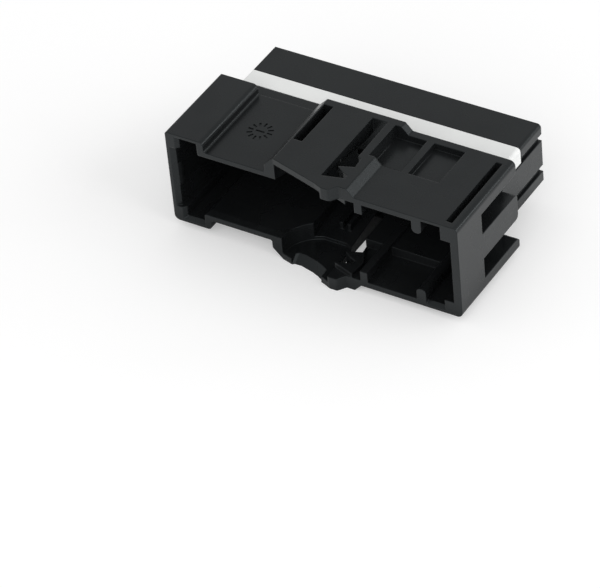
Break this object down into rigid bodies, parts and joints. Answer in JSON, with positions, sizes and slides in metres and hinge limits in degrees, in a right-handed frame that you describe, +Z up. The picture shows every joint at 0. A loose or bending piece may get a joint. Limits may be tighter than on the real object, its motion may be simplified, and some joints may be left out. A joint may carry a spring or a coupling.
{
  "type": "automotive wiring connector housing",
  "caption": "Black moulded multi-way wire connector housing: keyed shroud with latch windows, a block of terminal cavities, and a white comb that locks the terminals.",
  "frame": {"origin": "centre of the footprint, on the lowest faces (the underside of the lower ridge)", "axes": "+X along the row of cavities with the end slots at +X, +Y from the mating mouth to the wire side, +Z up to the retainer's side"},
  "size_m": [0.032, 0.02, 0.012],
  "materials": {
    "housing_plastic": "fine satin moulded black",
    "retainer_plastic": "fine satin moulded white"
  },
  "bodies": {
    "housing": {"connector_housing": "housing_plastic"},
    "retainer": {"terminal_retainer": "retainer_plastic"}
  },
  "joints": [
    {"name": "retainer_lift", "type": "slide", "parent": "housing", "child": "retainer", "axis": [0, 0, 1], "range_m": [0, 0.0012]}
  ]
}
